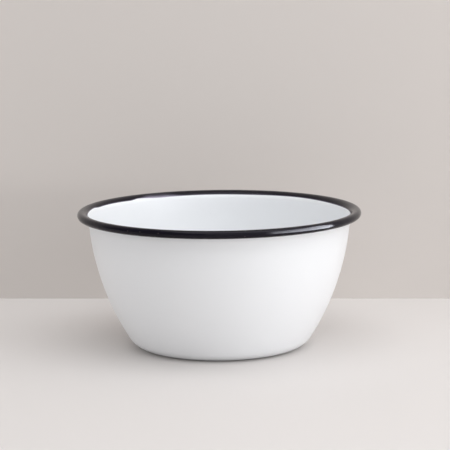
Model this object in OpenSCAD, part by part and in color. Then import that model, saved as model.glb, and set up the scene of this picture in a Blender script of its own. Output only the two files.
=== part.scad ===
// Enamelled steel basin bowl: one pressed sheet with a rolled rim, under its coats of fused enamel.
// Millimetres, +Z up, with the origin on the table under the middle of the bowl.
// The sheet and all its coats follow one line, the middle of the sheet, each at its own distance from it.

/* [Bowl] */
// Diameter over the rolled rim
rim_d = 200; // [150:1:280]
// Height from the table to the crest of the rim
bowl_h = 97.2; // [70:0.2:130]
// Lean of the wall from upright just under the lip, in degrees
lip_lean_deg = 4; // [1:0.5:10]
// Lean of the wall from upright just above the corner, in degrees
foot_lean_deg = 32; // [24:0.5:40]
// Outside radius of the corner between the wall and the base
corner_r = 15; // [8:0.5:25]

/* [Base] */
// Width of the flat ring that the bowl stands on
foot_w = 8; // [4:0.5:14]
// Rise of the panel inside that ring
panel_rise = 1.2; // [0.6:0.1:2.5]
// Radius of the two bends in the step round the panel, at the middle of the sheet
panel_bend_r = 4; // [3:0.5:8]

/* [Rolled rim] */
// Radius of the bend that turns the wall out into the lip, over the enamel
lip_r = 6.2; // [5.5:0.1:9]
// Radius of the rolled edge, over the enamel
roll_r = 2.8; // [2.2:0.1:3.2]
// Turn of the rolled edge from the crest to the raw edge, in degrees
roll_turn_deg = 250; // [180:5:265]
// Turn of the lip between the start of the dark band and the crest, in degrees
band_turn_deg = 56; // [20:1:75]

/* [Sheet and enamel] */
// Thickness of the steel sheet
steel_t = 0.6; // [0.4:0.05:1]
// Thickness of the ground coat on each face of the sheet
ground_t = 0.1; // [0.06:0.01:0.2]
// Thickness of the cover coat, white on the bowl and dark on the rim
cover_t = 0.2; // [0.1:0.01:0.4]

/* [Hidden] */

// The most that a drawn chord falls short of its arc
arc_error = 0.02;
// Segments in a full turn round the axis
turn_segments = 192;
// Angle from level to upright, in degrees
upright_deg = 90;

// Distance of each layer's outer face from the middle of the sheet
steel_face = steel_t / 2;
ground_face = steel_face + ground_t;
cover_face = ground_face + cover_t;

// Headings of the line, up from level, where the wall begins and where it ends
foot_heading_deg = upright_deg - foot_lean_deg;
lip_heading_deg = upright_deg - lip_lean_deg;

// Radii of the bends at the middle of the sheet
corner_mid = corner_r - cover_face;
lip_mid = lip_r - cover_face;
roll_mid = roll_r - cover_face;

// The wall is one arc, which rises through the height that its two bends leave
wall_rise = bowl_h - 2 * cover_face
    - corner_mid * (1 - cos(foot_heading_deg))
    - lip_mid * (1 - cos(lip_heading_deg));
wall_mid = wall_rise / (cos(foot_heading_deg) - cos(lip_heading_deg));

// Radius at which the foot ring ends and the corner begins, measured in from the rim
crest_r = rim_d / 2 - roll_r;
foot_r = crest_r
    - lip_mid * sin(lip_heading_deg)
    - wall_mid * (sin(lip_heading_deg) - sin(foot_heading_deg))
    - corner_mid * sin(foot_heading_deg);

// The step round the panel is two equal bends, one down and one back to level
step_turn_deg = acos(1 - panel_rise / (2 * panel_bend_r));
step_run = 2 * panel_bend_r * sin(step_turn_deg);
panel_r = foot_r - foot_w - step_run;

// The line from the axis to the raw edge, stretch by stretch. A straight stretch is [name, length, 0] and
// a bend is [name, radius, turn], where a turn towards the inside of the bowl is positive.
LINE = [
    ["panel", panel_r, 0],
    ["step down", panel_bend_r, -step_turn_deg],
    ["step level", panel_bend_r, step_turn_deg],
    ["foot ring", foot_w, 0],
    ["corner", corner_mid, foot_heading_deg],
    ["wall", wall_mid, lip_heading_deg - foot_heading_deg],
    ["white lip", lip_mid, band_turn_deg - lip_heading_deg],
    ["dark lip", lip_mid, -band_turn_deg],
    ["roll", roll_mid, -roll_turn_deg],
    ["raw edge", ground_t, 0],
];

// A station is [radius, height, heading]. The line starts level, on the axis.
START = [0, cover_face + panel_rise, 0];

function after_run(from, length) = [
    from[0] + length * cos(from[2]),
    from[1] + length * sin(from[2]),
    from[2],
];

function after_bend(from, radius, turn) = [
    from[0] + sign(turn) * radius * (sin(from[2] + turn) - sin(from[2])),
    from[1] + sign(turn) * radius * (cos(from[2]) - cos(from[2] + turn)),
    from[2] + turn,
];

function turn_of(i) = LINE[i][2];

function place_of(name) = search([name], LINE)[0];

function start_of(i) = i == 0 ? START : end_of(i - 1);

function end_of(i) = turn_of(i) == 0
    ? after_run(start_of(i), LINE[i][1])
    : after_bend(start_of(i), LINE[i][1], turn_of(i));

// Number of chords that keep a bend within the allowed error
function chords(radius, turn) = ceil(abs(turn) / (2 * acos(1 - arc_error / radius)));

// Stations along one stretch, after its start
function along(i) = turn_of(i) == 0
    ? [end_of(i)]
    : let (count = chords(LINE[i][1], turn_of(i)))
        [for (k = [1:count]) after_bend(start_of(i), LINE[i][1], turn_of(i) * k / count)];

// Stations from the start of one named stretch to the end of another
function stations(first, last) = [
    start_of(place_of(first)),
    for (i = [place_of(first):place_of(last)]) each along(i)
];

// Points at a distance from the line, positive on the inside of the bowl
function face(line, distance) = [
    for (s = line) [s[0] - distance * sin(s[2]), s[1] + distance * cos(s[2])]
];

function reversed(points) = [for (k = [1:len(points)]) points[len(points) - k]];

// Outline of a layer between two distances from the line
function layer(line, from, to) = concat(face(line, from), reversed(face(line, to)));

// The inside ground coat runs over the raw edge and back to the outside face
function wrapped_layer() = concat(
    face(stations("panel", "raw edge"), ground_face),
    face([end_of(place_of("raw edge")), start_of(place_of("raw edge"))], -ground_face),
    reversed(face(stations("panel", "roll"), steel_face))
);

module turned(outline) {
    rotate_extrude($fn = turn_segments)
        polygon(outline);
}

// Deep-drawn sheet, from the raised panel to the raw edge inside the roll
module steel_shell() {
    color("slategray")
        turned(layer(stations("panel", "roll"), -steel_face, steel_face));
}

module ground_coat_inside() {
    color("#20222c")
        turned(wrapped_layer());
}

module ground_coat_outside() {
    color("#20222c")
        turned(layer(stations("panel", "roll"), -ground_face, -steel_face));
}

// White enamel on the inside, up to the dark band
module white_coat_inside() {
    color("#f1f2f4")
        turned(layer(stations("panel", "white lip"), ground_face, cover_face));
}

// White enamel on the outside, up under the lip as far as the crest
module white_coat_outside() {
    color("#f1f2f4")
        turned(layer(stations("panel", "dark lip"), -cover_face, -ground_face));
}

// Dark enamel over the lip and round the rolled edge
module rim_coat() {
    color("#1b1a20")
        turned(layer(stations("dark lip", "raw edge"), ground_face, cover_face));
}

steel_shell();
ground_coat_inside();
ground_coat_outside();
white_coat_inside();
white_coat_outside();
rim_coat();
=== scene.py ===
# %% [markdown]
# A white enamelled bowl with a dark rim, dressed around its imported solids.
# The bowl is one pressed steel sheet under two coats of glass: a dark ground coat, then a cover coat that is white
# on the bowl and near black on the rolled rim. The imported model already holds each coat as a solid, in metres.
# Here the three cover coats are made again as finer surfaces with the small unevenness of fired enamel, and every
# coat gets a finish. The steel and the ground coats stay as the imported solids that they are.

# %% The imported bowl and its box
import math

import bpy
import numpy as np
from mathutils import Matrix, Vector


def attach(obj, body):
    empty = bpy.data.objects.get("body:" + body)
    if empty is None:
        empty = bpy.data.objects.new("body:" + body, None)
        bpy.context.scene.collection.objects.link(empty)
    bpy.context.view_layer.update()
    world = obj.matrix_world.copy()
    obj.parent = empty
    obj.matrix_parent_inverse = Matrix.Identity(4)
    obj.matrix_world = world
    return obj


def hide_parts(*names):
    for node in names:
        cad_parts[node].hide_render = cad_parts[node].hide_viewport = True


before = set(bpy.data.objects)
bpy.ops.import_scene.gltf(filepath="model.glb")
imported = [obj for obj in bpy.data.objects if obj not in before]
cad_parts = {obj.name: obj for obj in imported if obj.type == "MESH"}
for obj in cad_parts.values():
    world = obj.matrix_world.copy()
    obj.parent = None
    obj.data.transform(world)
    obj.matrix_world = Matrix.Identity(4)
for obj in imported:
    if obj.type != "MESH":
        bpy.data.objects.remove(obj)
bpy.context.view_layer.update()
MM = 0.001
print("nodes", sorted(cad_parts))

# %% [markdown]
# The sheet is drawn as one line in half section: the middle of the steel, from the axis to the raw edge in the roll.
# A press and a rolling wheel make bends of one radius at a time, so the line is a chain of stretches, each with one
# curvature. A spline could pass through the same places, but its bends would swell and flatten where real ones don't.
# The sizes are those of the solids, so every coat made from this line lies where its solid lies.

# %% Sizes of the bowl
RIM_D, BOWL_H = 200 * MM, 97.2 * MM
CORNER_R, LIP_R, ROLL_R = 15 * MM, 6.2 * MM, 2.8 * MM
FOOT_W, PANEL_RISE, PANEL_BEND_R = 8 * MM, 1.2 * MM, 4 * MM
GROUND_FACE, COVER_FACE = 0.4 * MM, 0.6 * MM
RAW_EDGE = 0.1 * MM
FOOT_HEADING, LIP_HEADING = math.radians(58), math.radians(86)
BAND_TURN, ROLL_TURN = math.radians(56), math.radians(250)

corner_mid, lip_mid, roll_mid = CORNER_R - COVER_FACE, LIP_R - COVER_FACE, ROLL_R - COVER_FACE
wall_rise = (BOWL_H - 2 * COVER_FACE - corner_mid * (1 - math.cos(FOOT_HEADING))
             - lip_mid * (1 - math.cos(LIP_HEADING)))
wall_mid = wall_rise / (math.cos(FOOT_HEADING) - math.cos(LIP_HEADING))
crest_r = RIM_D / 2 - ROLL_R
foot_r = (crest_r - lip_mid * math.sin(LIP_HEADING) - corner_mid * math.sin(FOOT_HEADING)
          - wall_mid * (math.sin(LIP_HEADING) - math.sin(FOOT_HEADING)))
step_turn = math.acos(1 - PANEL_RISE / (2 * PANEL_BEND_R))
panel_r = foot_r - FOOT_W - 2 * PANEL_BEND_R * math.sin(step_turn)
print(f"crest at {crest_r / MM:.2f} mm, foot ring ends at {foot_r / MM:.2f} mm, panel {panel_r / MM:.2f} mm")

# %% The chain of stretches
STRETCHES = {   # length along the line, and turn towards the inside of the bowl
    "panel": (panel_r, 0.0),
    "step down": (PANEL_BEND_R * step_turn, -step_turn),
    "step level": (PANEL_BEND_R * step_turn, step_turn),
    "foot ring": (FOOT_W, 0.0),
    "corner": (corner_mid * FOOT_HEADING, FOOT_HEADING),
    "wall": (wall_mid * (LIP_HEADING - FOOT_HEADING), LIP_HEADING - FOOT_HEADING),
    "white lip": (lip_mid * (LIP_HEADING - BAND_TURN), BAND_TURN - LIP_HEADING),
    "dark lip": (lip_mid * BAND_TURN, -BAND_TURN),
    "roll": (roll_mid * ROLL_TURN, -ROLL_TURN),
    "raw edge": (RAW_EDGE, 0.0),
}
lengths, turns = np.array(list(STRETCHES.values())).T
bend_of = turns / lengths
start_s = np.concatenate([[0], np.cumsum(lengths)])
start_h = np.concatenate([[0], np.cumsum(turns)])
STATION = dict(zip([*STRETCHES, "end"], start_s))
print(f"the line is {start_s[-1] / MM:.1f} mm long")


# %% A place on the line
def stretch_step(ds, h0, bend):
    """Radius and height gained over the distance ds from heading h0, at one curvature.

    The heading turns evenly, h = h0 + bend ds, so the gains are the integrals of its cosine and sine:
    (sin h - sin h0) / bend and (cos h0 - cos h) / bend, or ds cos h0 and ds sin h0 on a straight run."""
    h = h0 + bend * ds
    straight = bend == 0
    safe = np.where(straight, 1, bend)
    gain_r = np.where(straight, ds * np.cos(h0), (np.sin(h) - np.sin(h0)) / safe)
    gain_z = np.where(straight, ds * np.sin(h0), (np.cos(h0) - np.cos(h)) / safe)
    return gain_r, gain_z


gains = stretch_step(lengths, start_h[:-1], bend_of)
start_r = np.concatenate([[0], np.cumsum(gains[0])])
start_z = COVER_FACE + PANEL_RISE + np.concatenate([[0], np.cumsum(gains[1])])


def sheet_line(s):
    """Radius, height and heading at the distance s from the axis: the start of the stretch that s lies in, plus the
    gain over the rest of the way."""
    i = np.clip(np.searchsorted(start_s, s, side="right") - 1, 0, len(lengths) - 1)
    gain_r, gain_z = stretch_step(s - start_s[i], start_h[i], bend_of[i])
    return start_r[i] + gain_r, start_z[i] + gain_z, start_h[i] + bend_of[i] * (s - start_s[i])


# %% [markdown]
# A coat is the surface at one distance from that line, turned about the upright axis. In Blender this could be a
# Screw or Spin of a drawn profile. Working it out as a grid, distance along by angle round, lets every point move a
# little by its own place, which the wavering edge of the band and the swell of the enamel need.

# %% A coat as a grid of points
COLUMNS = 480
INSIDE_ROWS, OUTSIDE_ROWS, RIM_ROWS = (   # spacing on the face that is seen, then on the hidden one
    (1.6 * MM, 4 * MM), (1.8 * MM, 6 * MM), (0.6 * MM, 1.2 * MM))
SEEN_BEND, HIDDEN_BEND = math.radians(4), math.radians(8)
AROUND = np.linspace(0, 2 * math.pi, COLUMNS, endpoint=False)


def coat_points(s, d):
    """Points at the distance d from the line, positive on the inside of the bowl, for a grid of rows along by columns
    round: the line's place moved by d along its left normal, (r - d sin h, z + d cos h), then turned by the angle."""
    s, d, around = np.broadcast_arrays(s, d, AROUND)
    r, z, h = sheet_line(s)
    r, z = r - d * np.sin(h), z + d * np.cos(h)
    return np.stack([r * np.cos(around), r * np.sin(around), z], -1)


def rows_along(first, last, spacing, bend_step=SEEN_BEND):
    """Distances along the line from the start of one stretch to the start of another, evenly spaced in each stretch,
    closer where it bends. The last one is left out, so that chains of rows can follow each other."""
    names = list(STATION)
    picked = names[names.index(first):names.index(last)]
    counts = [math.ceil(max(STRETCHES[n][0] / spacing, abs(STRETCHES[n][1]) / bend_step, 2)) for n in picked]
    return np.concatenate([STATION[n] + STRETCHES[n][0] * np.arange(c) / c for n, c in zip(picked, counts)])


print("rows on the inside of the bowl", len(rows_along("panel", "dark lip", INSIDE_ROWS[0])), "columns", COLUMNS)


# %% A grid of points as a closed mesh
def closed_mesh(name, grid, poles, attributes):
    """A mesh whose faces join each point to the next along and the next round. The columns close on themselves. The
    rows start and end in one point on the axis where there are poles, and otherwise close into a ring too."""
    rows, cols = grid.shape[:2]
    if poles:
        keep = np.r_[0, np.arange(cols, (rows - 1) * cols), (rows - 1) * cols]
        ring = 1 + np.arange((rows - 2) * cols).reshape(rows - 2, cols)
        low, high = ring[:-1], ring[1:]
        start, end = np.full(cols, 0), np.full(cols, len(keep) - 1)
        fans = [np.stack([start, ring[0], np.roll(ring[0], -1)], -1),
                np.stack([ring[-1], end, np.roll(ring[-1], -1)], -1)]
    else:
        keep = np.arange(rows * cols)
        low = keep.reshape(rows, cols)
        high, fans = np.roll(low, -1, 0), []
    quads = np.stack([low, high, np.roll(high, -1, 1), np.roll(low, -1, 1)], -1).reshape(-1, 4)
    faces = quads.tolist() + [f for fan in fans for f in fan.tolist()]
    mesh = bpy.data.meshes.new(name)
    mesh.from_pydata(grid.reshape(-1, 3)[keep], [], faces)
    for label, values in attributes.items():
        layer = mesh.attributes.new(label, "FLOAT", "POINT")
        layer.data.foreach_set("value", np.broadcast_to(values, (rows, cols)).reshape(-1)[keep].astype(np.float32))
    mesh.polygons.foreach_set("use_smooth", np.ones(len(mesh.polygons), bool))
    mesh.update()
    piece = bpy.data.objects.new(name, mesh)
    bpy.context.scene.collection.objects.link(piece)
    state = "repaired" if mesh.validate() else "sound"
    print(name, len(mesh.vertices), "points", len(mesh.polygons), "faces", state)
    return piece


# %% [markdown]
# Enamel is glass that ran while it was hot, so its skin swells slowly by a few hundredths of a millimetre. That is
# what makes a reflection waver. A Displace modifier with a noise texture could do it; a sum of plane waves through
# space is a plainer formula, closes round the axis by itself, and has no pinch at the poles.
# The coat only ever gets thinner than its solid, so that the bowl keeps its size.

# %% The swell of the enamel
def enamel_swell(points, shortest, longest, seed, waves=14, squeeze=2.5):
    """A number from 0 to 1 at each point: the mean of plane waves cos(k p + phase) with random directions and
    wavelengths, squeezed through tanh."""
    draw = np.random.default_rng(seed)
    way = draw.normal(size=(3, waves))
    way *= 2 * math.pi / draw.uniform(shortest, longest, waves) / np.linalg.norm(way, axis=0)
    return 0.5 + 0.5 * np.tanh(squeeze * np.cos(points @ way + draw.uniform(0, 2 * math.pi, waves)).mean(-1))


def smooth_rise(x, low, high):
    """0 below low and 1 above high, with the easy curve 3t^2 - 2t^3 between."""
    t = np.clip((x - low) / (high - low), 0, 1)
    return t * t * (3 - 2 * t)


SWELL, KEEP_IN = 0.04 * MM, 0.01 * MM
WALL_WAVES, RIM_WAVES = (14 * MM, 45 * MM), (7 * MM, 26 * MM)   # shortest and longest
INSIDE_SEED, OUTSIDE_SEED, RIM_SEED = 3, 8, 5
trial = enamel_swell(coat_points(np.array([[STATION["wall"]]]), 0.0), *WALL_WAVES, INSIDE_SEED)
print(f"swell round one ring from {trial.min():.2f} to {trial.max():.2f} of {SWELL / MM} mm")

# %% [markdown]
# The dark band is laid on by hand, with a brush or a roller, while the bowl turns. So its inner edge wavers, and
# there is a lap where the stroke met its own start: on this bowl it is at the back, a little to the left, and it is
# a notch in the edge with a thin wash of colour in it. At the left end the brush strayed outwards and left a
# second notch.
# The edge is a function of the angle alone, and the white coat and the dark coat both read it, so they always meet.

# %% The wavering edge of the band
EDGE_MEAN = -0.24 * MM
EDGE_WAVES = ((2, 0.07 * MM, -2.9), (4, 0.19 * MM, 1.8), (7, 0.16 * MM, 0.3))   # waves in a turn, height, phase
NOTCHES = (   # depth, then the angles between which it rises and falls
    (1.0 * MM, np.radians([118, 131]), np.radians([130, 135.5])),
    (1.05 * MM, np.radians([159, 166.5]), np.radians([190, 202])),
)
FILM_RUN = 0.18 * MM
WASH_RUN, WASH_RISES, WASH_FALLS = 0.78 * MM, np.radians([106, 117]), np.radians([123, 130])


def rise_and_fall(around, rises, falls):
    """0, then up to 1 between the two angles of the rise, then down to 0 again between those of the fall."""
    return smooth_rise(around, *rises) * (1 - smooth_rise(around, *falls))


def band_edge(around):
    """Place of the band's inner edge along the line: a mean place, three slow waves, and two notches: one at the lap,
    steep where the stroke ended and easy where it began, and one at the left end."""
    waves = sum(height * np.cos(count * around + phase) for count, height, phase in EDGE_WAVES)
    notches = sum(depth * rise_and_fall(around, rises, falls) for depth, rises, falls in NOTCHES)
    return STATION["dark lip"] + EDGE_MEAN + waves + notches


def film_glow(s, around):
    """Share of the white that shows through the dark coat: 1 at its edge, then less by one factor for each step over
    a film that grows evenly thicker, exp(-(s - edge) / run). The run is short all round, but longer in the thin
    wash that the brush left in the notch, where its stroke began."""
    run = FILM_RUN + WASH_RUN * rise_and_fall(around, WASH_RISES, WASH_FALLS)
    return np.exp(-np.maximum(s - band_edge(around), 0) / run)


edge_s = band_edge(AROUND)
print(f"the edge strays {(edge_s.min() - STATION['dark lip']) / MM:.2f} to "
      f"{(edge_s.max() - STATION['dark lip']) / MM:.2f} mm")

# %% [markdown]
# The white coat inside runs from the middle of the base up to the band. Near the lip it thins, because the slip
# drains off a bend before it is fired, and its last half millimetre tapers away under the dark coat.
# The upper face is laid row by row out to the edge, and the lower face back to the axis, so the coat is closed glass.

# %% White coat inside
DRAIN, DRAIN_RUN, TUCK = 0.05 * MM, 12 * MM, 0.6 * MM
STIR_RUN = 9 * MM


def white_top(s, edge):
    """Distance of the white coat's upper face from the line: the full coat, less its swell, less what drained off."""
    full = coat_points(s, COVER_FACE)
    drained = DRAIN * smooth_rise(s, edge - DRAIN_RUN, edge)
    return COVER_FACE - SWELL * enamel_swell(full, *WALL_WAVES, INSIDE_SEED) - drained


def follow_edge(rows):
    """Rows shifted with the band's edge: not at all far from it, and fully where they reach its mean place."""
    share = smooth_rise(rows, STATION["dark lip"] - STIR_RUN, STATION["dark lip"])[:, None]
    return rows[:, None] + share * (edge_s - STATION["dark lip"])


upper = follow_edge(np.append(rows_along("panel", "dark lip", INSIDE_ROWS[0]), STATION["dark lip"]))
lower = follow_edge(np.append(rows_along("panel", "dark lip", INSIDE_ROWS[1]), STATION["dark lip"]))[::-1]
upper_d = white_top(upper, edge_s)
tip = (edge_s + TUCK)[None]
white_inside = closed_mesh(
    "white_enamel_inside",
    coat_points(np.concatenate([upper, tip, lower]),
                np.concatenate([upper_d, np.full_like(tip, GROUND_FACE), np.full_like(lower, GROUND_FACE)])),
    True, {})

# %% [markdown]
# The white coat outside covers the base, the wall and the back of the lip, up to where the roll hides it.
# It is made like the inside one, on the other side of the line, with its own swell. Its upper face lies on the ground
# coat, and its outer face is the one that is seen.

# %% White coat outside
END_ROUND = np.linspace(0, math.pi, 7)[1:-1, None]
half_coat = (COVER_FACE - GROUND_FACE) / 2
upper = rows_along("panel", "roll", OUTSIDE_ROWS[1], HIDDEN_BEND)[:, None]
outer = np.append(rows_along("panel", "roll", OUTSIDE_ROWS[0]), STATION["roll"] - half_coat)[::-1, None]
outer_d = SWELL * enamel_swell(coat_points(outer, -COVER_FACE), *WALL_WAVES, OUTSIDE_SEED) - COVER_FACE
end_s = np.repeat(STATION["roll"] - half_coat + half_coat * np.sin(END_ROUND), COLUMNS, 1)
end_d = np.repeat(-GROUND_FACE - half_coat + half_coat * np.cos(END_ROUND), COLUMNS, 1)
white_outside = closed_mesh(
    "white_enamel_outside",
    coat_points(np.concatenate([np.repeat(upper, COLUMNS, 1), end_s, np.repeat(outer, COLUMNS, 1)]),
                np.concatenate([np.full((len(upper), COLUMNS), -GROUND_FACE), end_d, outer_d])),
    True, {})

# %% [markdown]
# The dark coat starts at the band's edge as a thin toe on the white, swells to its full thickness within half a
# millimetre, goes over the crest, and follows the roll right round to the raw edge. It is a ring with no poles.
# Each point also keeps how thin the film is there, from 1 at the toe towards 0, because thin glass lets some of the
# white through.

# %% Dark coat on the rim
TOE_RUN, ROW_GAP = 0.45 * MM, 0.01 * MM
toe_t = np.linspace(0, 1, 7)[:-1, None]
toe_s = edge_s + TOE_RUN * toe_t
past_toe = np.append(rows_along("dark lip", "end", RIM_ROWS[0]), STATION["end"] - half_coat)
past_toe = past_toe[past_toe > STATION["dark lip"] + ROW_GAP][:, None]
fade = 1 - smooth_rise(past_toe, STATION["dark lip"], STATION["roll"])
outer_s = past_toe + fade * (edge_s + TOE_RUN - STATION["dark lip"])
full_d = COVER_FACE - KEEP_IN - SWELL * enamel_swell(coat_points(outer_s, COVER_FACE), *RIM_WAVES, RIM_SEED)
toe_from = white_top(edge_s[None], edge_s)
toe_to = COVER_FACE - KEEP_IN - SWELL * enamel_swell(coat_points(toe_s, COVER_FACE), *RIM_WAVES, RIM_SEED)
toe_d = toe_from + (toe_to - toe_from) * np.sqrt(1 - (1 - toe_t) ** 2)
end_s = np.repeat(STATION["end"] - half_coat + half_coat * np.sin(END_ROUND), COLUMNS, 1)
end_d = np.repeat(GROUND_FACE + half_coat + half_coat * np.cos(END_ROUND), COLUMNS, 1)
under = rows_along("roll", "end", RIM_ROWS[1])[::-1, None]
under_s = np.concatenate([np.repeat(under, COLUMNS, 1), (edge_s + 3 * TUCK)[None], (edge_s + TUCK)[None]])
rim_s = np.concatenate([toe_s, outer_s, end_s, under_s])
rim_d = np.concatenate([toe_d, full_d, end_d, np.full_like(under_s, GROUND_FACE)])
dark_rim = closed_mesh("dark_enamel_rim", coat_points(rim_s, rim_d), False, {"thin_film": film_glow(rim_s, AROUND)})

# %% [markdown]
# All the enamels share one skin: a fine orange peel, slow clouds of tone, and a few specks where a grain of another
# colour was fired in. This is one node group with its own sizes as inputs, so each enamel sets them to suit.
# It reads Object coordinates, which on these pieces are metres from the middle of the base.

# %% The skin that the enamels share
SPECK_GAIN, SPOT_GAIN = 2.0, 1.6   # how far past 1 a mask would rise, so that its middle is even
CLOUD_LOW, CLOUD_HIGH = 0.3, 0.7   # a noise seldom leaves this range
skin = bpy.data.node_groups.new("fired enamel skin", "ShaderNodeTree")
for label, default in (("Peel Scale", 700.0), ("Cloud Scale", 30.0), ("Speck Scale", 160.0), ("Speck Size", 0.04),
                       ("Speck Share", 0.3)):
    skin.interface.new_socket(label, in_out="INPUT", socket_type="NodeSocketFloat").default_value = default
for label in ("Peel", "Cloud", "Specks"):
    skin.interface.new_socket(label, in_out="OUTPUT", socket_type="NodeSocketFloat")


def add_node(tree, kind, inputs=None, **settings):
    """A new node with its settings, and its inputs set from numbers or joined from other nodes' outputs."""
    node = tree.nodes.new(kind)
    for key, value in settings.items():
        setattr(node, key, value)
    for key, value in (inputs or {}).items():
        if isinstance(value, bpy.types.NodeSocket):
            tree.links.new(value, node.inputs[key])
        else:
            node.inputs[key].default_value = value
    return node


sizes_in = add_node(skin, "NodeGroupInput").outputs
place = add_node(skin, "ShaderNodeTexCoord").outputs["Object"]
peel = add_node(skin, "ShaderNodeTexNoise", {"Vector": place, "Scale": sizes_in["Peel Scale"], "Detail": 1.0})
cloud = add_node(skin, "ShaderNodeTexNoise", {"Vector": place, "Scale": sizes_in["Cloud Scale"], "Detail": 3.0})
grain = add_node(skin, "ShaderNodeTexVoronoi", {"Vector": place, "Scale": sizes_in["Speck Scale"]})
lot = add_node(skin, "ShaderNodeSeparateColor", {"Color": grain.outputs["Color"]})
chosen = add_node(skin, "ShaderNodeMath", {0: lot.outputs["Red"], 1: sizes_in["Speck Share"]}, operation="LESS_THAN")
near = add_node(skin, "ShaderNodeMapRange", {"Value": grain.outputs["Distance"], "From Min": sizes_in["Speck Size"],
                                             "From Max": 0.0, "To Min": 0.0, "To Max": SPECK_GAIN})
specks = add_node(skin, "ShaderNodeMath", {0: near.outputs["Result"], 1: chosen.outputs[0]}, operation="MULTIPLY",
                  use_clamp=True)
add_node(skin, "NodeGroupOutput", {"Peel": peel.outputs["Fac"], "Cloud": cloud.outputs["Fac"],
                                   "Specks": specks.outputs[0]})
print("skin", len(skin.nodes), "nodes")


# %% Helpers for the finishes
def new_finish(name):
    """A material with a Principled shader, as (material, its node tree, the shader)."""
    finish = bpy.data.materials.new(name)
    finish.use_nodes = True
    return finish, finish.node_tree, finish.node_tree.nodes["Principled BSDF"]


def mix_colour(tree, share, first, second):
    """The colour between two, by a share from 0 to 1."""
    node = add_node(tree, "ShaderNodeMix", {"Factor": share}, data_type="RGBA")
    for socket, value in ((node.inputs[6], first), (node.inputs[7], second)):
        if isinstance(value, bpy.types.NodeSocket):
            tree.links.new(value, socket)
        else:
            socket.default_value = (*value, 1)
    return node.outputs[2]


def put_on_skin(tree, shader, sizes, peel_depth, rough_low, rough_high):
    """Places the shared skin, and joins its peel to the shader's normal and its clouds to the roughness."""
    node = add_node(tree, "ShaderNodeGroup", node_tree=skin)
    for key, value in sizes.items():
        node.inputs[key].default_value = value
    bump = add_node(tree, "ShaderNodeBump", {"Height": node.outputs["Peel"], "Strength": 1.0, "Distance": peel_depth})
    rough = add_node(tree, "ShaderNodeMapRange", {"Value": node.outputs["Cloud"], "From Min": CLOUD_LOW,
                                                  "From Max": CLOUD_HIGH,
                                                  "To Min": rough_low, "To Max": rough_high})
    tree.links.new(bump.outputs["Normal"], shader.inputs["Normal"])
    tree.links.new(rough.outputs["Result"], shader.inputs["Roughness"])
    return node.outputs


def near_spots(tree, spots, reach):
    """A mask that is 1 at the middle of each spot and 0 past its reach: the largest of the single spots' masks."""
    here = add_node(tree, "ShaderNodeTexCoord").outputs["Object"]
    mask = None
    for spot in spots:
        gap = add_node(tree, "ShaderNodeVectorMath", {0: here, 1: spot}, operation="DISTANCE")
        one = add_node(tree, "ShaderNodeMapRange", {"Value": gap.outputs["Value"], "From Min": reach, "From Max": 0.0,
                                                    "To Min": 0.0, "To Max": SPOT_GAIN}).outputs["Result"]
        if mask is None:
            mask = one
        else:
            mask = add_node(tree, "ShaderNodeMath", {0: mask, 1: one}, operation="MAXIMUM").outputs[0]
    return mask


print("helpers ready")

# %% [markdown]
# The white is a titanium enamel: a cool, dense white with a soft gloss. The tone drifts by two hundredths, and
# grey specks are far apart. Underneath, three small dark marks show where the bowl stood on the points of its firing
# rack. Those could be modelled as dents, but they are flat scars, so a mask round three places is enough.

# %% White enamel
WHITE_LIGHT, WHITE_DULL, SPECK_GREY = (0.87, 0.885, 0.9), (0.85, 0.866, 0.883), (0.42, 0.43, 0.46)
RACK_SCAR = (0.09, 0.085, 0.09)
SCAR_RING, SCAR_REACH = 36 * MM, 0.9 * MM
scar_angles = np.radians([80, 200, 320])
scar_spots = np.stack([SCAR_RING * np.cos(scar_angles), SCAR_RING * np.sin(scar_angles),
                       np.full(len(scar_angles), PANEL_RISE)], -1)
white_enamel, tree, shader = new_finish("white enamel")
skin_out = put_on_skin(tree, shader, {"Peel Scale": 650.0, "Cloud Scale": 24.0, "Speck Scale": 150.0,
                                      "Speck Size": 0.03, "Speck Share": 0.06}, 0.012 * MM, 0.29, 0.37)
tone = mix_colour(tree, skin_out["Cloud"], WHITE_LIGHT, WHITE_DULL)
specked = mix_colour(tree, skin_out["Specks"], tone, SPECK_GREY)
scarred = mix_colour(tree, near_spots(tree, scar_spots.tolist(), SCAR_REACH), specked, RACK_SCAR)
tree.links.new(scarred, shader.inputs["Base Color"])
print("white enamel", len(tree.nodes), "nodes")

# %% [markdown]
# The rim is a blue-black enamel. Where the coat begins it is thin enough for the white to show through as a violet
# fringe, so the colour follows the thinness that the piece carries. The film is mottled a little, and has pale
# pinholes: a few at the places where they can be seen on the front of the rim, and others strewn about.

# %% Rim enamel
RIM_DEEP, RIM_MOTTLE = (0.0033, 0.0027, 0.0075), (0.0085, 0.0065, 0.0115)
RIM_SPECULAR, PIN_REACH = 0.17, 0.5 * MM
RIM_FRINGE, RIM_PINHOLE = (0.5, 0.46, 0.575), (0.07, 0.055, 0.055)
pin_azimuth, pin_tilt = np.radians([-37.6, -31.8, -23.8, 9.6]), np.radians([10, 12, 12, -22])
pin_r = crest_r + ROLL_R * np.cos(pin_tilt)
pin_spots = np.stack([pin_r * np.sin(pin_azimuth), -pin_r * np.cos(pin_azimuth),
                      BOWL_H - ROLL_R + ROLL_R * np.sin(pin_tilt)], -1)
rim_enamel, tree, shader = new_finish("rim enamel")
shader.inputs["Specular IOR Level"].default_value = RIM_SPECULAR
skin_out = put_on_skin(tree, shader, {"Peel Scale": 520.0, "Cloud Scale": 160.0, "Speck Scale": 210.0,
                                      "Speck Size": 0.05, "Speck Share": 0.2}, 0.02 * MM, 0.1, 0.18)
tone = mix_colour(tree, skin_out["Cloud"], RIM_DEEP, RIM_MOTTLE)
thin = add_node(tree, "ShaderNodeAttribute", attribute_name="thin_film").outputs["Fac"]
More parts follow.
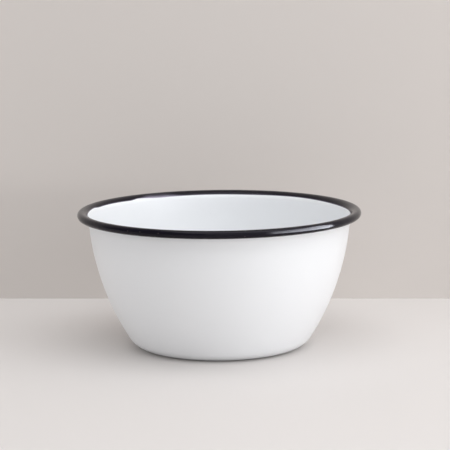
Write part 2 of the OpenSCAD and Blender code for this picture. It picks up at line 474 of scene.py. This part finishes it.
fringed = mix_colour(tree, thin, tone, RIM_FRINGE)
pinned = mix_colour(tree, skin_out["Specks"], fringed, RIM_PINHOLE)
spotted = mix_colour(tree, near_spots(tree, pin_spots.tolist(), PIN_REACH), pinned, RIM_PINHOLE)
tree.links.new(spotted, shader.inputs["Base Color"])
print("rim enamel", len(tree.nodes), "nodes")

# %% [markdown]
# The ground coat is the blue-black glass that grips the steel. It shows only inside the roll, seen from below. The
# steel is sealed all round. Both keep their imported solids, and get finishes that would look right if they were bared.

# %% Ground enamel and steel
GROUND_DEEP, GROUND_CLOUD, GROUND_SPECK = (0.012, 0.013, 0.02), (0.022, 0.023, 0.032), (0.06, 0.062, 0.07)
STEEL_DULL, STEEL_BRIGHT = (0.5, 0.5, 0.51), (0.6, 0.6, 0.605)
ground_enamel, tree, shader = new_finish("ground enamel")
skin_out = put_on_skin(tree, shader, {"Peel Scale": 900.0, "Cloud Scale": 90.0, "Speck Scale": 400.0,
                                      "Speck Size": 0.1, "Speck Share": 0.5}, 0.02 * MM, 0.28, 0.4)
tone = mix_colour(tree, skin_out["Cloud"], GROUND_DEEP, GROUND_CLOUD)
tree.links.new(mix_colour(tree, skin_out["Specks"], tone, GROUND_SPECK), shader.inputs["Base Color"])

pressed_steel, tree, shader = new_finish("pressed steel")
shader.inputs["Metallic"].default_value = 1.0
skin_out = put_on_skin(tree, shader, {"Peel Scale": 1500.0, "Cloud Scale": 220.0}, 0.01 * MM, 0.32, 0.48)
tree.links.new(mix_colour(tree, skin_out["Cloud"], STEEL_DULL, STEEL_BRIGHT), shader.inputs["Base Color"])
for node, finish in (("ground_coat_inside", ground_enamel), ("ground_coat_outside", ground_enamel),
                     ("steel_shell", pressed_steel)):
    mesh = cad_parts[node].data
    mesh.materials.clear()
    mesh.materials.append(finish)
    print(node, "wears", finish.name)

# %% [markdown]
# Each new coat takes its finish, stands for its solid, and rides on the bowl's one body.

# %% Coats on the bowl
for piece, finish, slot, node in ((white_inside, white_enamel, "white_enamel", "white_coat_inside"),
                                  (white_outside, white_enamel, "white_enamel", "white_coat_outside"),
                                  (dark_rim, rim_enamel, "rim_enamel", "rim_coat")):
    piece.data.materials.append(finish)
    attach(piece, "root")
    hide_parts(node)
    print(piece.name, "stands for", node)

# %% [markdown]
# The camera looks down at the bowl by nine degrees, from about 1.4 m, through a long lens. Its place was found by
# matching the rim's and the foot's outlines. It leans by about half a degree, as a camera held in the hand does.

# %% Camera
PICTURE, SENSOR = 450, 36.0
FOCAL, CAMERA_PLACE = 1924.6, (0, -1.3426, 0.2981)
PITCH, ROLL_LEFT, AIM_RIGHT = math.radians(8.993), math.radians(0.56), math.atan(5.72 / FOCAL)
camera = bpy.data.objects.new("camera", bpy.data.cameras.new("camera"))
camera.data.sensor_width = SENSOR
camera.data.lens = FOCAL / PICTURE * SENSOR
camera.matrix_world = (Matrix.Translation(CAMERA_PLACE) @ Matrix.Rotation(-AIM_RIGHT, 4, "Z")
                       @ Matrix.Rotation(math.pi / 2 - PITCH, 4, "X") @ Matrix.Rotation(-ROLL_LEFT, 4, "Z"))
camera.data.clip_start, camera.data.clip_end = 0.05, 50
bpy.context.scene.collection.objects.link(camera)
bpy.context.scene.camera = camera
print(f"lens {camera.data.lens:.1f} mm")

# %% [markdown]
# The bowl stands on a pale table in front of a painted wall. The line where they meet is level in the picture, so the
# wall's foot is found by sending two rays from the camera through that line to the table.
# Both surfaces let a view from behind or from below through their backs, so the bowl can be seen from every side.

# %% Table and wall
CORNER_LINE = 298.5
STAGE_REACH, TABLE_DROP = 3.0, 0.00002


def table_place(x, y):
    """The place on the table that the camera sees at a pixel: along the ray from the camera until the height is 0."""
    ray = camera.matrix_world.to_3x3() @ Vector(((x - PICTURE / 2) / FOCAL, (PICTURE / 2 - y) / FOCAL, -1))
    start = camera.matrix_world.translation
    return start - ray * (start.z / ray.z)


def plane_grid(name, origin, along, up, count=9):
    """A flat grid, origin + a along + b up, for a and b from -1 to 1."""
    a, b = np.meshgrid(np.linspace(-1, 1, count), np.linspace(-1, 1, count), indexing="ij")
    points = np.array(origin) + a[..., None] * np.array(along) + b[..., None] * np.array(up)
    index = np.arange(count * count).reshape(count, count)
    faces = np.stack([index[:-1, :-1], index[1:, :-1], index[1:, 1:], index[:-1, 1:]], -1).reshape(-1, 4)
    mesh = bpy.data.meshes.new(name)
    mesh.from_pydata(points.reshape(-1, 3), [], faces.tolist())
    obj = bpy.data.objects.new(name, mesh)
    bpy.context.scene.collection.objects.link(obj)
    return obj


wall_left, wall_right = table_place(0, CORNER_LINE), table_place(PICTURE, CORNER_LINE)
wall_along = (wall_right - wall_left).normalized() * STAGE_REACH
table = plane_grid("table", (0, 0, -TABLE_DROP), (STAGE_REACH, 0, 0), (0, STAGE_REACH, 0))
wall = plane_grid("wall", (wall_left + wall_right) / 2 + Vector((0, 0, STAGE_REACH / 2)), wall_along,
                  (0, 0, STAGE_REACH / 2))
print(f"the wall's foot is {(wall_left.y + wall_right.y) / 2:.3f} m behind the bowl's axis")


# %% Paint for the table and the wall
def matt_paint(name, colour, other, scale, rough):
    """A matt paint with slow clouds between two tones, whose back is clear."""
    finish, tree, shader = new_finish(name)
    here = add_node(tree, "ShaderNodeTexCoord").outputs["Object"]
    drift = add_node(tree, "ShaderNodeTexNoise", {"Vector": here, "Scale": scale, "Detail": 2.0})
    tree.links.new(mix_colour(tree, drift.outputs["Fac"], colour, other), shader.inputs["Base Color"])
    shader.inputs["Roughness"].default_value = rough
    behind = add_node(tree, "ShaderNodeNewGeometry").outputs["Backfacing"]
    clear = add_node(tree, "ShaderNodeBsdfTransparent")
    both = add_node(tree, "ShaderNodeMixShader", {0: behind, 1: shader.outputs[0], 2: clear.outputs[0]})
    tree.links.new(both.outputs[0], tree.nodes["Material Output"].inputs["Surface"])
    return finish


TABLE_TONES = (0.718, 0.688, 0.668), (0.708, 0.678, 0.658)
WALL_TONES = (0.633, 0.592, 0.561), (0.623, 0.582, 0.551)
table.data.materials.append(matt_paint("pale table", *TABLE_TONES, scale=6.0, rough=0.6))
wall.data.materials.append(matt_paint("wall paint", *WALL_TONES, scale=4.0, rough=0.8))
print("table and wall painted")

# %% [markdown]
# The light is a large window on the right, a soft panel overhead, weak fills from the front and the left, and the
# even light of a pale room. Area lamps have soft shadows by themselves, and the room is the world's colour. The
# window is two low lamps just above the table, and a taller one above them. The left fill stands for a pale wall,
# so it is kept out of the gloss, where it would draw a streak.
# In the real rim the window shows as one long bright streak. Small panels draw it, set out on part of a sphere round
# the place where it lies. Each sends a narrow beam there, so that little of it shows elsewhere on the rim. Light
# linking keeps the panels off everything but the rim, where they show in the gloss alone.

# %% Light
LAMPS = {   # place in metres, the way it faces, width, height, watts
    "window_far": ((1.6, -0.14, 0.18), (-1, 0, 0), 0.88, 0.32, 1.7),
    "window_near": ((1.6, -1.3, 0.18), (-1, 0, 0), 1.4, 0.32, 10.2),
    "window_high": ((0.85, -0.45, 0.62), (-1, 0, -0.3), 1.1, 0.7, 3.22),
    "overhead": ((0.3, -0.45, 1.55), (0, 0, -1), 2.0, 1.8, 22.7),
    "front": ((0.4, -1.75, 0.65), (-0.2, 1, -0.3), 1.6, 0.9, 4.0),
    "left": ((-0.9, -0.12, 0.22), (1, 0, -0.05), 0.5, 0.4, 1.45),
}
STREAK_FOCUS = Vector((0.055, -0.078, 0.095))
STREAK_TURNS, TURN_SHARES = np.radians(np.linspace(-50, 10, 7)), np.linspace(0.6, 1.3, 7)
STREAK_RISES, RISE_SHARES = np.radians([-12, 8, 28]), (1.5, 1.25, 0.8)
STREAK_REACH, STREAK_WIDTH, STREAK_HEIGHT = 0.18, 0.0315, 0.067
STREAK_SPREAD, STREAK_POWER = math.radians(36), 0.005
DAYLIGHT, SKY_BLUE = (0.973, 0.982, 1.0), (0.88, 0.9, 1.0)
ROOM_TINT, ROOM_LIGHT = (0.985, 0.988, 1.0), 0.255


def add_lamp(name, place, facing, width, height, power, tint=DAYLIGHT):
    """An area lamp at a place, turned so that it shines along one direction, and out of sight of the camera."""
    lamp = bpy.data.objects.new(name, bpy.data.lights.new(name, "AREA"))
    lamp.data.shape, lamp.data.size, lamp.data.size_y = "RECTANGLE", width, height
    lamp.data.energy, lamp.data.color = power, tint
    lamp.matrix_world = Matrix.Translation(place) @ Vector(facing).to_track_quat("-Z", "Y").to_matrix().to_4x4()
    lamp.visible_camera = False
    bpy.context.scene.collection.objects.link(lamp)
    print(f"{name} at {[round(c, 3) for c in place]} m with {power:.4g} W")
    return lamp


for name, values in LAMPS.items():
    lamp = add_lamp(name, *values)
    lamp.visible_glossy = name != "left"
rim_alone = bpy.data.collections.new("rim alone")
rim_alone.objects.link(dark_rim)
for turn, turn_share in zip(STREAK_TURNS, TURN_SHARES):
    for rise, rise_share in zip(STREAK_RISES, RISE_SHARES):
        way = Vector((math.cos(turn) * math.cos(rise), math.sin(turn) * math.cos(rise), math.sin(rise)))
        panel = add_lamp("streak_panel", STREAK_FOCUS + STREAK_REACH * way, -way, STREAK_WIDTH, STREAK_HEIGHT,
                         STREAK_POWER * turn_share * rise_share, SKY_BLUE)
        panel.data.spread = STREAK_SPREAD
        panel.visible_diffuse = False
        panel.light_linking.receiver_collection = rim_alone
world = bpy.data.worlds.new("room")
world.use_nodes = True
room = world.node_tree.nodes["Background"].inputs
room["Color"].default_value, room["Strength"].default_value = (*ROOM_TINT, 1), ROOM_LIGHT
bpy.context.scene.world = world
bpy.context.scene.view_settings.view_transform = "Standard"
print("room light", ROOM_LIGHT)
